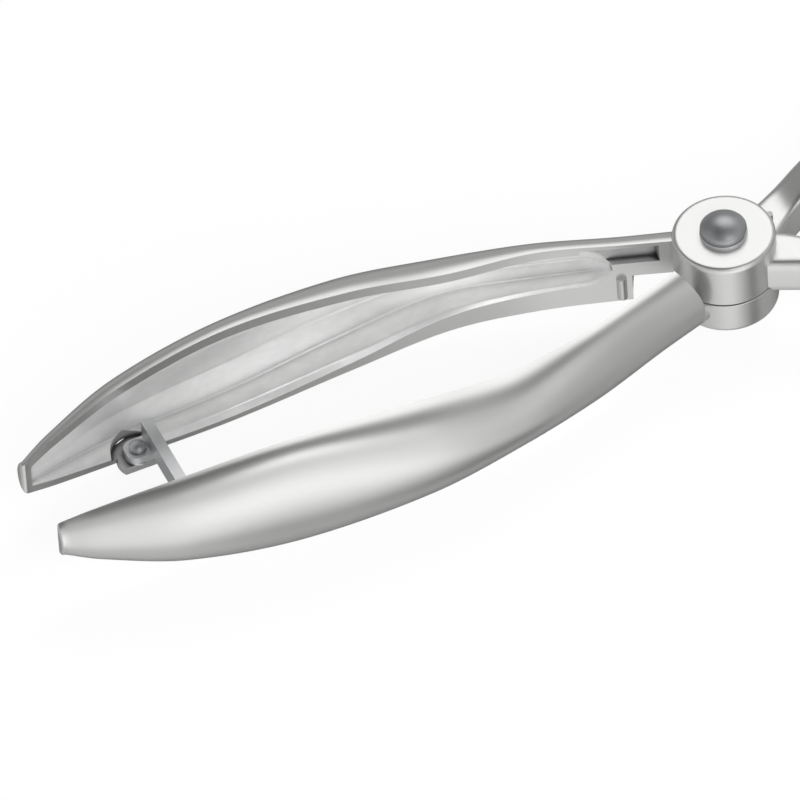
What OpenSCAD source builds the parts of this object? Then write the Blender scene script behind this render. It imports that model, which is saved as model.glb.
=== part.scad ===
// Pliers-type olive pitter in polished cast metal, closed for storage.
// The pivot axis is Z, the underside of the hub is z = 0, the head points to +X
// and the two handles to -X. The upper lever carries the far handle and the cup,
// the lower lever the near handle and the punch.

/* [Pivot hub] */
// Diameter of the barrel that the two knuckles form
hub_d = 16; // [14:0.5:19]
// Height of the whole barrel
hub_h = 14; // [13:0.5:16]
// Height of the seam between the knuckles, above the underside
seam_h = 6; // [5.5:0.25:6.5]
// Gap between the two knuckles at the seam
seam_gap = 0.3; // [0.2:0.05:0.5]
// Diameter of the rivet's shank
rivet_d = 4.8; // [4:0.1:5.4]
// Diameter of the rivet's domed head
dome_d = 7.2; // [6:0.1:9]
// Height of the domed head
dome_h = 2.3; // [1.8:0.1:3]
// Thickness of the washer under the dome
washer_t = 0.4; // [0.3:0.05:0.8]
// Radial running clearance of the shank in a knuckle
running_fit = 0.05; // [0.02:0.01:0.1]

/* [Return spring] */
// Diameter of the spring's wire
wire_d = 1.2; // [0.8:0.1:1.3]
// Number of turns round the shank
spring_turns = 3; // [2:1:3]

/* [Handles] */
// Distance from the pivot axis to a handle's tip
handle_len = 114.5; // [100:0.5:130]
// Half of the gap between the two rims where they are widest apart
grip_rim = 12.6; // [11:0.1:16]
// Depth of a handle's channel section at its fattest
grip_depth = 8; // [7:0.1:10]
// Half of a handle's height at its tallest
grip_half_h = 10.35; // [9:0.05:12]
// Half of a handle's height at the waist before the hub
waist_half_h = 6.4; // [5.5:0.1:7]
// Half of the gap between the rims at the tips
tip_rim = 6.4; // [5:0.1:8]
// Half of a handle's height at its tip
tip_half_h = 3; // [2.5:0.1:4]
// Thickness of the channel's wall
web_t = 1.8; // [1.4:0.1:2.4]
// Thickness of a flange towards the tip
flange_t = 2.2; // [1.6:0.1:2.6]
// Thickness of the inner flange where it meets the hub
root_flange_t = 4.4; // [3.5:0.1:5]
// Gap between the end of the near handle and the barrel
shoulder_gap = 2.3; // [1.2:0.1:2.4]

/* [Head] */
// Distance from the pivot axis to the punch's path
head_r = 48; // [46:0.5:54]
// Room for the olive between the cup and the guide ring
olive_gap = 20; // [17:0.5:22]
// Outer diameter of the cup ring
cup_d = 20.6; // [19:0.2:22]
// Thickness of the cup ring
cup_t = 5; // [4.5:0.5:6]
// Diameter of the seat insert in the cup
seat_d = 16; // [14:0.5:17]
// Diameter of the hole that the stone leaves by
stone_hole_d = 7; // [6.4:0.2:8]
// Outer diameter of the guide ring
guide_d = 13; // [12:0.5:16]
// Thickness of the guide ring
guide_t = 3; // [2.5:0.5:4]
// Diameter of the punch
punch_d = 5; // [4:0.1:5.4]
// How far the punch's tip stands out below the cup when closed
tip_past = 2.5; // [1:0.5:4]
// Thickness of the tip's four blades
blade_t = 1.2; // [0.8:0.1:1.6]
// Outer diameter of the punch's holder
holder_d = 9.6; // [9:0.2:12]
// How far the handles open, in degrees
open_angle = 32; // [20:1:34]

/* [Latch] */
// Distance from a handle's tip back to the latch pin
latch_back = 20.1; // [19:0.1:24]
// How far inside the near handle's rim the catch peg stands
peg_inset = 1.2; // [1:0.05:1.4]
// Thickness of the latch plate
latch_t = 1.8; // [1.4:0.1:2]
// Diameter of the latch pin's shank
latch_pin_d = 1.6; // [1.4:0.1:2]
// Diameter of the catch peg
peg_d = 1.6; // [1.4:0.1:1.8]

/* [Hidden] */

mid_z = hub_h / 2;
seam_z = seam_h - mid_z;
half_hub = hub_h / 2;
hub_r = hub_d / 2;
cast = "#d9d9d6";
cast_shade = "#c9c9c6";
steel = "#9a9c9e";
bright = "#b9bbbd";
fine = 64;

// ---- values between a few stations, as a smooth curve through them ----
function slope(k, i, c) =
    i == 0 ? (k[1][c] - k[0][c]) / (k[1][0] - k[0][0]) :
    i == len(k) - 1 ? (k[i][c] - k[i - 1][c]) / (k[i][0] - k[i - 1][0]) :
    (k[i + 1][c] - k[i - 1][c]) / (k[i + 1][0] - k[i - 1][0]);
function curve(k, i, c, s) =
    let (w = k[i + 1][0] - k[i][0], t = (s - k[i][0]) / w)
    (2 * pow(t, 3) - 3 * t * t + 1) * k[i][c] + (pow(t, 3) - 2 * t * t + t) * w * slope(k, i, c)
    + (3 * t * t - 2 * pow(t, 3)) * k[i + 1][c] + (pow(t, 3) - t * t) * w * slope(k, i + 1, c);
function span(k, s, i = 0) = i >= len(k) - 2 || s <= k[i + 1][0] ? i : span(k, s, i + 1);
function along(k, c, s) = curve(k, span(k, s), c, s);

tip_flare = 1.5;
neck_drop = 0.8;
// Stations of a handle: distance from the pivot, rim, depth, half height
hub_end = 4;
root_end = 14;
handle = [
    [hub_end, 1.2, 5.6, half_hub - neck_drop],
    [root_end, 4.8, 5.2, half_hub - neck_drop],
    [0.24 * handle_len, 0.73 * grip_rim, 0.70 * grip_depth, 1.03 * waist_half_h],
    [0.36 * handle_len, 0.90 * grip_rim, 0.94 * grip_depth, waist_half_h],
    [0.50 * handle_len, grip_rim, grip_depth, 0.85 * grip_half_h],
    [0.68 * handle_len, 0.99 * grip_rim, 0.82 * grip_depth, grip_half_h],
    [0.84 * handle_len, 0.84 * grip_rim, 0.70 * grip_depth, 0.80 * grip_half_h],
    [0.95 * handle_len, tip_rim + tip_flare, 0.45 * grip_depth, tip_half_h + 1.4 * tip_flare],
    [handle_len, tip_rim, 0.27 * grip_depth, tip_half_h]];
RIM = 1;
DEPTH = 2;
HALF = 3;
function rim_y(s) = along(handle, RIM, s);

// Stations of the channel's two flanges: distance, inner flange, outer flange
cove_from = 16.4;
cove_len = 4;
tip_channel_half = 1.4;
outer_root_t = 0.83 * web_t;
flanges = [
    [cove_from, root_flange_t, outer_root_t],
    [cove_from + cove_len, root_flange_t, 0.9 * web_t],
    [0.36 * handle_len, 0.82 * root_flange_t, web_t],
    [0.52 * handle_len, flange_t, web_t],
    [handle_len, tip_half_h - tip_channel_half, tip_half_h - tip_channel_half]];
INNER = 1;
OUTER = 2;

// A closed skin over equal rings of points
module skin(rings) {
    n = len(rings[0]);
    m = len(rings);
    sides = [for (i = [0:m - 2], j = [0:n - 1]) let (a = i * n + j, b = i * n + (j + 1) % n)
        each [[a, b, b + n], [a, b + n, a + n]]];
    ends = [[for (j = [0:n - 1]) n - 1 - j], [for (j = [0:n - 1]) (m - 1) * n + j]];
    polyhedron([for (r = rings) each r], concat(sides, ends), convexity = 6);
}

// A round-cornered oval: 1 gives an ellipse, a smaller power a boxier form
function oval(t, power) = [sign(cos(t)) * pow(abs(cos(t)), power), sign(sin(t)) * pow(abs(sin(t)), power)];
grip_round = 1;
channel_round = 0.85;
ring_steps = 16;
past_rim = 3;
tip_deep = 0.6;
function around(k, power) = oval(-90 + 180 * k / ring_steps, power);

// Outside of a handle at distance s: a D with its straight side on the rim
function handle_ring(s) = [for (k = [0:ring_steps]) let (o = around(k, grip_round))
    [-s, rim_y(s) + along(handle, DEPTH, s) * o[0], along(handle, HALF, s) * o[1]]];

// How far the channel has opened at distance s: its hub end is a round cove
cove_least = 0.25;
function opened(s) = let (t = min(1, (s - cove_from) / cove_len)) max(cove_least, sqrt(1 - pow(1 - t, 2)));

// The channel inside it, running out past the rim
function channel_ring(s) =
    let (low = -along(handle, HALF, s) + along(flanges, INNER, s),
         high = along(handle, HALF, s) - along(flanges, OUTER, s),
         deep = max(tip_deep, along(handle, DEPTH, s) - web_t) * opened(s),
         half = (high - low) / 2 * opened(s), middle = (high + low) / 2)
    concat([[-s, rim_y(s) - past_rim, middle - half]],
        [for (k = [0:ring_steps]) let (o = around(k, channel_round))
            [-s, rim_y(s) + deep * o[0], middle + half * o[1]]],
        [[-s, rim_y(s) - past_rim, middle + half]]);

// The shallow pocket between the cove and the hub, over a ledge
pocket_from = 9.5;
pocket_to = 21;
pocket_d = 1.4;
pocket_steps = 4;
ledge_t = 1.7;
function pocket_ring(s) =
    let (low = seam_z + ledge_t, high = along(handle, HALF, s) - outer_root_t, y = rim_y(s))
    [[-s, y - past_rim, low], [-s, y + pocket_d, low], [-s, y + pocket_d, high], [-s, y - past_rim, high]];

// The narrower neck that joins the near handle to its knuckle, from z low to z high
neck_in = 1.1;
neck_flat = 0.7;
function neck_ring(s, low, high) = [for (k = [0:ring_steps]) let (o = around(k, neck_flat))
    [-s, rim_y(s) + neck_in + (along(handle, DEPTH, s) - 2 * neck_in) * o[0],
     (high + low) / 2 + (high - low) / 2 * o[1]]];

handle_steps = 30;
channel_steps = 34;
channel_crowd = 1.4;
end_wall = 1.6;
tip_edge = 0.7;
tip_close = 0.6;
tip_low = 0.75;
module handle_form() {
    long = handle_len - tip_edge - hub_end;
    tip = [for (q = handle_ring(handle_len - tip_edge))
        [-handle_len, tip_rim + tip_edge + (q[1] - tip_rim) * tip_close, q[2] * tip_low]];
    difference() {
        skin(concat([for (i = [0:handle_steps]) handle_ring(hub_end + long * i / handle_steps)], [tip]));
        skin([for (i = [0:channel_steps])
            channel_ring(cove_from + (handle_len - end_wall - cove_from) * pow(i / channel_steps, channel_crowd))]);
        skin([for (i = [0:pocket_steps]) pocket_ring(pocket_from + (pocket_to - pocket_from) * i / pocket_steps)]);
    }
}

// Stations of a jaw's arm: x, middle in y, half width, lowest and highest z for the upper lever
arm_thick = 5.4;
arm_past_seam = 1.2;
arm_from = 13;
arm_half = 4.4;
arm_end_half = 4.6;
arm_w = 3;
function arm_stations(low, high, end_x, end_y) = [
    [0.3 * hub_r, 0.33 * hub_r, arm_w + 0.5, low, high],
    [1.08 * hub_r, 0.63 * hub_r, arm_w + 1.1, low, high],
    [arm_from, 0.6 * arm_from, arm_w + 0.4, low, high],
    [1.46 * arm_from, 0.8 * arm_from, arm_w + 0.1, (low - arm_half) / 2, (high + arm_half) / 2],
    [2.08 * arm_from, 0.96 * arm_from, arm_w, -arm_half, arm_half],
    [end_x - 4, end_y - 0.4, arm_w - 0.1, -arm_end_half, arm_end_half],
    [end_x, end_y, arm_w - 0.4, -arm_end_half, arm_end_half]];
arm_steps = 18;
arm_sides = 20;
arm_boxy = 0.5;
module arm(k) {
    from = k[0][0];
    to = k[len(k) - 1][0];
    skin([for (i = [0:arm_steps]) let (x = from + (to - from) * i / arm_steps)
        [for (j = [0:arm_sides - 1]) let (o = oval(360 * j / arm_sides, arm_boxy))
            [x, along(k, 1, x) - along(k, 2, x) * o[0],
             (along(k, 4, x) + along(k, 3, x)) / 2 + (along(k, 4, x) - along(k, 3, x)) / 2 * o[1]]]]);
}

// ---- angles round the pivot at the punch's path ----
function turn(mm) = mm / head_r * 180 / PI;
guide_a = turn(olive_gap + cup_t / 2 + guide_t / 2) / 2;
cup_a = -guide_a;
tip_a = cup_a - turn(cup_t / 2 + tip_past);
holder_gap = 1.2;
holder_from = guide_a + turn(guide_t / 2 + holder_gap);
holder_len = 6.6;
screw_bite = 0.1;
holder_to = holder_from + turn(holder_len);
blade_len = 6;
blade_step = 0.3;
seat_depth = 2.6;
bush_wall = 1.3;
bush_lip = 0.5;
bush_lip_w = 0.8;
bevel = 1;
fit_gap = 0.04;
punch_clear = 0.25;

// Puts its children at an angle on the punch's path, with +Z along the path
module on_path(angle) {
    rotate([0, 0, angle])
        translate([head_r, 0, 0])
            rotate([-90, 0, 0])
                children();
}

// Moves the middle plane of the tool to its height above the hub's underside
module at_middle() {
    translate([0, 0, mid_z])
        children();
}

bridge_w = 4.6;
bridge_h = 8.4;
bridge_bite = 1.4;
bridge_in = head_r - cup_d / 2 - bridge_w + bridge_bite;

// The arc that joins the cup ring to the guide ring
module bridge() {
    rotate([0, 0, cup_a])
        rotate_extrude(angle = guide_a - cup_a, $fn = 96)
            translate([bridge_in, -bridge_h / 2])
                polygon([[0, bevel], [bevel, 0], [bridge_w - bevel, 0], [bridge_w, bevel],
                         [bridge_w, bridge_h - bevel], [bridge_w - bevel, bridge_h],
                         [bevel, bridge_h], [0, bridge_h - bevel]]);
}

// A ring plate on the path with a neck back to the bridge
neck_x = 0.18;
neck_y = 0.46;
module ring_plate(angle, ring_d, thick) {
    on_path(angle)
        translate([0, 0, -thick / 2]) {
            cylinder(d = ring_d, h = thick, $fn = fine);
            linear_extrude(thick)
                polygon([[bridge_in - head_r + bevel, -bridge_h / 2], [-ring_d * neck_x, -ring_d * neck_y],
                         [-ring_d * neck_x, ring_d * neck_y], [bridge_in - head_r + bevel, bridge_h / 2]]);
        }
}

knuckle_wall = 2;
spring_room_r = hub_r - knuckle_wall;
tail_r = 3.6;
tail_h = 1.2;

// The round room for the spring inside a knuckle, from z0 to z1
module spring_room(z0, z1) {
    translate([0, 0, z0])
        cylinder(r = spring_room_r, h = z1 - z0, $fn = fine);
}

module shank_bore() {
    translate([0, 0, -half_hub - 1])
        cylinder(d = rivet_d + 2 * running_fit, h = hub_h + 2, $fn = fine);
}

knuckle_edge = 0.5;
// A knuckle from z0 to z1 with its outer face edge broken, on top or below
module knuckle(z0, z1, edge_on_top) {
    e = knuckle_edge;
    rotate_extrude($fn = 96)
        polygon(edge_on_top ?
            [[0, z0], [hub_r, z0], [hub_r, z1 - e], [hub_r - e * 0.3, z1 - e * 0.3], [hub_r - e, z1], [0, z1]] :
            [[0, z0], [hub_r - e, z0], [hub_r - e * 0.3, z0 + e * 0.3], [hub_r, z0 + e], [hub_r, z1], [0, z1]]);
}

// ---- latch geometry, in the latch's own plane round its pin ----
latch_x = handle_len - latch_back;
pin_out = 1.2;
latch_y = rim_y(latch_x) - pin_out;
latch_half = along(handle, HALF, latch_x);
ear_t = 1.4;
ear_r = 3.4;
ear_top = -latch_half + ear_t;
pin_head_r = latch_pin_d / 2 + 0.55;
pin_head_t = 0.5;
latch_washer_t = 0.35;
foot_gap = 0.1;
foot_t = 1.2;
foot_r = 2.1;
foot_z = ear_top + latch_washer_t + foot_gap;
plate_gap = 0.2;
plate_left = pin_head_r + plate_gap;
plate_right = plate_left + latch_t;
plate_h = 3.9;
plate_z = foot_z + 0.7;
plate_top = plate_z + plate_h;
recess_r = norm([plate_right, foot_r]) + 0.3;
nose_t = 0.6;
nose_len = 1.8;
nose_rise = 2.1;
neb_len = 4;
hook_clear = 0.1;
unhook_angle = 6;

// The peg stands where the latch holds it when it is turned back by the unhooking angle
peg_left = plate_left - hook_clear - peg_d / 2;
reach_guess = (latch_y + rim_y(latch_x) + peg_inset) / cos(unhook_angle);
peg_x = latch_x - peg_left * cos(unhook_angle) + reach_guess * sin(unhook_angle);
peg_y = rim_y(peg_x) + peg_inset;
latch_len = (latch_y + peg_y - peg_left * sin(unhook_angle)) / cos(unhook_angle);
peg_share = peg_inset / along(handle, DEPTH, peg_x);
peg_seat = 0.5;
peg_low = -along(handle, HALF, peg_x) * sqrt(1 - peg_share * peg_share) + peg_seat;

// ---- spring geometry: a coil round the shank, a leg out of the hub and a hidden one ----
coil_gap = 0.4;
coil_r = rivet_d / 2 + coil_gap + wire_d / 2;
coil_pitch = wire_d + coil_gap;
coil_steps = 18;
leg_a = 41;
leg_out = 8.9;
leg_z = seam_z + 2.2;
leg_rise = 2.4;
leg_room = 0.2;
coil_left_out = 5;
coil_start_a = leg_a - 90 + 360 * coil_left_out / coil_steps;
hidden_leg_len = 5.4;
hidden_end_a = coil_start_a - atan2(hidden_leg_len, coil_r);
hidden_leg_z = leg_z - coil_pitch * spring_turns;
pocket_ease = 9;
pocket_wall = 0.8;
pocket_r = hub_r - pocket_wall;

step_out = 6.4;
beyond = 5;
jaw_gap = 0.35;
post_r = 0.8;
post_x = 15.2;
post_h = 4.4;
stone_ease = 0.8;
jaw_y = 12.8;
far_jaw_y = 16.4;
neck_steps = 6;
neck_len = hub_r + shoulder_gap + 3 - hub_end;
screw_d = 3;
screw_slot = 0.6;

module upper_lever() {
    color(cast)
        at_middle()
            difference() {
                union() {
                    knuckle(seam_z + seam_gap / 2, half_hub, true);
                    difference() {
                        handle_form();
                        // Room below the seam for the other lever's knuckle and neck
                        translate([0, 0, -half_hub - beyond])
                            cylinder(r = hub_r + step_out, h = half_hub + beyond + seam_z + seam_gap / 2, $fn = fine);
                    }
                    translate([-latch_x, latch_y, -latch_half])
                        cylinder(r = ear_r, h = ear_t, $fn = fine);
                    difference() {
                        mirror([0, 1, 0])
                            arm(arm_stations(seam_z - arm_past_seam, seam_z + arm_thick, head_r - 9, jaw_y));
                        // Room for the other knuckle, which the jaw reaches down beside
                        translate([0, 0, -half_hub])
                            cylinder(r = hub_r + jaw_gap, h = half_hub + seam_z + seam_gap / 2, $fn = fine);
                    }
                    // Post that ends the inner flange at the hub
                    translate([-post_x, rim_y(post_x), -along(handle, HALF, post_x) + post_r])
                        cylinder(r = post_r, h = post_h, $fn = 32);
                    bridge();
                    ring_plate(cup_a, cup_d, cup_t);
                    ring_plate(guide_a, guide_d, guide_t);
                }
                shank_bore();
                spring_room(seam_z - 1, leg_z + wire_d / 2 + leg_room);
                // Slot for the spring's visible leg
                rotate([0, 0, leg_a])
                    translate([0, -coil_r - wire_d / 2 - leg_room, seam_z - 1])
                        cube([leg_out + 2, wire_d + 2 * leg_room, leg_z - seam_z + 1 + wire_d / 2 + leg_room]);
                on_path(cup_a) {
                    translate([0, 0, -cup_t])
                        cylinder(d = stone_hole_d + 2 * stone_ease, h = 2 * cup_t, $fn = fine);
                    translate([0, 0, cup_t / 2 - seat_depth])
                        cylinder(d = seat_d + 2 * fit_gap, h = seat_depth + 1, $fn = fine);
                }
                on_path(guide_a)
                    translate([0, 0, -guide_t])
                        cylinder(d = punch_d + 2 * (punch_clear + bush_wall + fit_gap), h = 2 * guide_t, $fn = fine);
                translate([-latch_x, latch_y, 0]) {
                    translate([0, 0, -latch_half - 1])
                        cylinder(d = latch_pin_d + 2 * fit_gap, h = ear_t + 2, $fn = 32);
                    // Round recess that the latch turns in
                    translate([0, 0, ear_top])
                        cylinder(r = recess_r, h = plate_top - ear_top + foot_gap, $fn = fine);
                }
            }
}

module lower_lever() {
    color(cast_shade)
        at_middle()
            difference() {
                union() {
                    knuckle(-half_hub, seam_z - seam_gap / 2, false);
                    difference() {
                        rotate([180, 0, 0])
                            handle_form();
                        // Concave end, clear of the barrel all the way up
                        translate([0, 0, -half_hub - beyond])
                            cylinder(r = hub_r + shoulder_gap, h = hub_h + 2 * beyond, $fn = fine);
                    }
                    mirror([0, 1, 0])
                        skin([for (i = [0:neck_steps])
                            neck_ring(hub_end + neck_len * i / neck_steps,
                                -half_hub + neck_in, seam_z - seam_gap / 2)]);
                    difference() {
                        arm(arm_stations(seam_z - arm_thick, seam_z + arm_past_seam, head_r - 5, far_jaw_y));
                        translate([0, 0, seam_z - seam_gap / 2])
                            cylinder(r = hub_r + jaw_gap, h = half_hub, $fn = fine);
                    }
                    holder();
                }
                shank_bore();
                spring_room(hidden_leg_z - wire_d / 2 - leg_room, seam_z + 1);
                // Pocket that the spring's hidden leg bears in, as wide as the handles open
                translate([0, 0, hidden_leg_z - wire_d / 2 - leg_room])
                    rotate([0, 0, hidden_end_a - open_angle - pocket_ease])
                        rotate_extrude(angle = open_angle + 2 * pocket_ease, $fn = 96)
                            square([pocket_r, wire_d + 2 * leg_room]);
                // Countersink for the rivet's flush tail
                rotate_extrude($fn = fine)
                    polygon([[0, -half_hub - 1], [tail_r + running_fit, -half_hub - 1],
                             [tail_r + running_fit, -half_hub],
                             [rivet_d / 2 + running_fit, -half_hub + tail_h + running_fit],
                             [0, -half_hub + tail_h + running_fit]]);
                // Bore of the punch's holder, along the punch's path
                rotate([0, 0, holder_from - 2])
                    rotate_extrude(angle = holder_to - holder_from + 4, $fn = 180)
                        translate([head_r, 0])
                            circle(d = punch_d + 2 * fit_gap, $fn = 48);
                rotate([0, 0, (holder_from + holder_to) / 2])
                    translate([head_r + punch_d / 2, 0, 0])
                        rotate([0, 90, 0])
                            cylinder(d = screw_d + 2 * fit_gap, h = holder_d, $fn = 32);
                translate([-peg_x, -peg_y, peg_low])
                    cylinder(d = peg_d + 2 * fit_gap, h = plate_z + nose_rise - peg_low, $fn = 32);
            }
}

module holder() {
    rotate([0, 0, holder_from])
        rotate_extrude(angle = holder_to - holder_from, $fn = 180)
            translate([head_r, 0])
                circle(d = holder_d, $fn = 48);
}

module pivot_rivet() {
    dome_r = dome_d / 2;
    side = dome_h * 0.4;
    cap = dome_h - side;
    cap_r = (dome_r * dome_r + cap * cap) / (2 * cap);
    color(steel)
        at_middle() {
            rotate_extrude($fn = fine)
                polygon([[0, -half_hub], [tail_r, -half_hub], [rivet_d / 2, -half_hub + tail_h],
                         [rivet_d / 2, half_hub + washer_t], [0, half_hub + washer_t]]);
            translate([0, 0, half_hub + washer_t])
                intersection() {
                    cylinder(r = dome_r, h = dome_h, $fn = fine);
                    translate([0, 0, dome_h - cap_r])
                        sphere(r = cap_r, $fn = 96);
                }
        }
}

washer_out = 0.5;
module dome_washer() {
    color(bright)
        translate([0, 0, hub_h])
            difference() {
                cylinder(d = dome_d + 2 * washer_out, h = washer_t, $fn = fine);
                translate([0, 0, -1])
                    cylinder(d = rivet_d + 2 * fit_gap, h = washer_t + 2, $fn = fine);
            }
}

// Round wire swept along points
function unit(v) = v / norm(v);
module wire(points, d, sides) {
    n = len(points);
    skin([for (i = [0:n - 1])
        let (dir = unit(points[min(i + 1, n - 1)] - points[max(i - 1, 0)]),
             side = unit(cross(dir, abs(dir[2]) > 0.9 ? [1, 0, 0] : [0, 0, 1])), up = cross(side, dir))
        [for (j = [0:sides - 1]) points[i] + d / 2 * (cos(360 * j / sides) * side + sin(360 * j / sides) * up)]]);
}

module return_spring() {
    out = [cos(leg_a), sin(leg_a), 0];
    top_side = coil_r * [sin(leg_a), -cos(leg_a), 0];
    steps = coil_steps * spring_turns - coil_left_out;
    coil = [for (i = [0:steps]) let (a = coil_start_a + 360 * i / coil_steps)
        [coil_r * cos(a), coil_r * sin(a), hidden_leg_z + (leg_z - hidden_leg_z) * i / steps]];
    back = [sin(coil_start_a), -cos(coil_start_a), 0];
    hidden = [coil[0] + hidden_leg_len * back];
    leg = [for (q = [[0.5, 0], [leg_out - 1, 0], [leg_out - 0.3, 0.3], [leg_out, 1], [leg_out, leg_rise]])
        top_side + q[0] * out + [0, 0, leg_z + q[1]]];
    color(steel)
        at_middle()
            wire(concat(hidden, coil, leg), wire_d, 8);
}

module cup_seat() {
    hole_r = stone_hole_d / 2;
    rim_r = seat_d / 2;
    lip_r = rim_r - 0.7;
    seat_floor = 0.8;
    color(bright)
        at_middle()
            on_path(cup_a)
                translate([0, 0, cup_t / 2 - seat_depth])
                    rotate_extrude($fn = fine)
                        polygon(concat([[hole_r, 0], [rim_r, 0], [rim_r, seat_depth]],
                            [for (k = [0:8]) let (q = k / 8, r = lip_r - (lip_r - hole_r) * q)
                                [r, seat_depth - (seat_depth - seat_floor) * (1 - pow(1 - q, 2))]]));
}

module guide_bush() {
    inner = punch_d / 2 + punch_clear;
    color(bright)
        at_middle()
            on_path(guide_a)
                translate([0, 0, -guide_t / 2])
                    difference() {
                        union() {
                            cylinder(r = inner + bush_wall, h = guide_t, $fn = fine);
                            translate([0, 0, -bush_lip])
                                cylinder(r = inner + bush_wall + bush_lip_w, h = bush_lip, $fn = fine);
                        }
                        translate([0, 0, -1])
                            cylinder(r = inner, h = guide_t + 2, $fn = fine);
                    }
}

module punch() {
    color(bright)
        at_middle() {
            rotate([0, 0, tip_a + turn(blade_len)])
                rotate_extrude(angle = holder_to - tip_a - turn(blade_len), $fn = 180)
                    translate([head_r, 0])
                        circle(d = punch_d, $fn = 48);
            rotate([0, 0, tip_a])
                rotate_extrude(angle = turn(blade_len) + 0.2, $fn = 180)
                    translate([head_r, 0])
                        intersection() {
                            circle(d = punch_d - blade_step, $fn = 48);
                            union() {
                                square([punch_d, blade_t], center = true);
                                square([blade_t, punch_d], center = true);
                            }
                        }
        }
}

module punch_screw() {
    color(steel)
        at_middle()
            rotate([0, 0, (holder_from + holder_to) / 2])
                translate([head_r + punch_d / 2 + screw_bite, 0, 0])
                    rotate([0, 90, 0])
                        difference() {
                            cylinder(d = screw_d, h = (holder_d - punch_d) / 2 + screw_slot / 2, $fn = 32);
                            translate([-screw_slot / 2, -screw_d, (holder_d - punch_d) / 2 - screw_slot])
                                cube([screw_slot, 2 * screw_d, 2 * screw_slot]);
                        }
}

module latch_hook() {
    end_y = -latch_len - peg_d / 2 - hook_clear;
    color(bright)
        at_middle()
            translate([-latch_x, latch_y, 0])
                difference() {
                    union() {
                        translate([0, 0, foot_z])
                            cylinder(r = foot_r, h = foot_t, $fn = 48);
                        translate([0, -foot_r, foot_z])
                            cube([plate_right, 2 * foot_r, foot_t]);
                        translate([plate_left, end_y - nose_t, plate_z + nose_rise])
                            cube([latch_t, -end_y + nose_t, plate_h - nose_rise]);
                        translate([plate_left, -latch_len + neb_len, plate_z])
                            cube([latch_t, latch_len - neb_len + foot_r, plate_h]);
                        translate([plate_left - nose_len, end_y - nose_t, plate_z + nose_rise])
                            cube([nose_len + latch_t, nose_t, plate_h - nose_rise]);
                    }
                    translate([0, 0, foot_z - 1])
                        cylinder(d = latch_pin_d + 2 * running_fit, h = foot_t + 2, $fn = 32);
                }
}

module latch_pin() {
    shank = ear_t + latch_washer_t + 2 * foot_gap + foot_t;
    color(steel)
        at_middle()
            translate([-latch_x, latch_y, -latch_half]) {
                cylinder(d = latch_pin_d, h = shank, $fn = 32);
                translate([0, 0, shank]) {
                    cylinder(r = pin_head_r, h = pin_head_t, $fn = 32);
                    translate([0, 0, pin_head_t])
                        intersection() {
                            cylinder(r = pin_head_r, h = 1, $fn = 32);
                            translate([0, 0, -0.9 * pin_head_r])
                                sphere(r = 1.35 * pin_head_r, $fn = 48);
                        }
                }
            }
}

module latch_washer() {
    color(steel)
        at_middle()
            translate([-latch_x, latch_y, ear_top])
                difference() {
                    cylinder(r = foot_r, h = latch_washer_t, $fn = 48);
                    translate([0, 0, -1])
                        cylinder(d = latch_pin_d + 2 * fit_gap, h = latch_washer_t + 2, $fn = 32);
                }
}

module catch_peg() {
    color(steel)
        at_middle()
            translate([-peg_x, -peg_y, peg_low])
                cylinder(d = peg_d, h = plate_top - peg_low, $fn = 32);
}

upper_lever();
lower_lever();
pivot_rivet();
dome_washer();
return_spring();
cup_seat();
guide_bush();
punch();
punch_screw();
latch_hook();
latch_pin();
latch_washer();
catch_peg();
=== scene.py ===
"""Dresses the olive pitter: cast levers, barrel, spring, latch, cup and punch, on a white floor.

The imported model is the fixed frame. The two castings and the pieces that show are rebuilt here with
finer surfaces at the same sizes, and every piece gets its metal. Lengths are in metres.
"""

import math

import bmesh
import bpy
import numpy as np
from bpy.props import FloatProperty, FloatVectorProperty, PointerProperty
from mathutils import Matrix, Vector


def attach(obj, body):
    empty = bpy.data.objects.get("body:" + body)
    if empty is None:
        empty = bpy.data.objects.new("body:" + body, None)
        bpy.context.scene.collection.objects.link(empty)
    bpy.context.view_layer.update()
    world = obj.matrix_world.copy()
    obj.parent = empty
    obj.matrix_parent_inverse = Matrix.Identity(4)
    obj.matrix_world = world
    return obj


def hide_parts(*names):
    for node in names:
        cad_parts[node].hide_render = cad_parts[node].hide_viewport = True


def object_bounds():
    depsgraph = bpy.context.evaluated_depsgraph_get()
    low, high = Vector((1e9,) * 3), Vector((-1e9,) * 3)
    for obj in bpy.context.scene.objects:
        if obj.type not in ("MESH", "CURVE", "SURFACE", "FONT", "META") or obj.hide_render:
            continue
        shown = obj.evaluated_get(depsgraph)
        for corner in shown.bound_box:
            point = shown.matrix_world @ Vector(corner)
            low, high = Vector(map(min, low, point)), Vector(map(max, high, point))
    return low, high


bl_info = {
    "name": "Olive Pitter",
    "version": (1, 0, 0),
    "blender": (4, 5, 0),
    "location": "3D View > Sidebar > Pitter",
    "description": "Builds the pieces, metals and stage of a pliers-type olive pitter",
    "category": "Object",
}

MM = 0.001
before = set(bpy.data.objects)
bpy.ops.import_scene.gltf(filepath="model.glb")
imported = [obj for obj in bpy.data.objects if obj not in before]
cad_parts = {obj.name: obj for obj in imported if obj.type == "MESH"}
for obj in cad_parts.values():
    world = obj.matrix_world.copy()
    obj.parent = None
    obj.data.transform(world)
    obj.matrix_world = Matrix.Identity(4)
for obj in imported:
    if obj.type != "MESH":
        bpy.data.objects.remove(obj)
CAD_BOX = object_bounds()


# ---------------------------------------------------------------- sizes and colours

def size(name, description, millimetres):
    """A length that a user may change."""
    return FloatProperty(name=name, description=description, default=millimetres * MM,
                         unit="LENGTH", subtype="DISTANCE", precision=5)


def tint(name, description, colour):
    """A colour that a user may change."""
    return FloatVectorProperty(name=name, description=description, default=colour,
                               subtype="COLOR", size=3, min=0.0, max=1.0)


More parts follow.
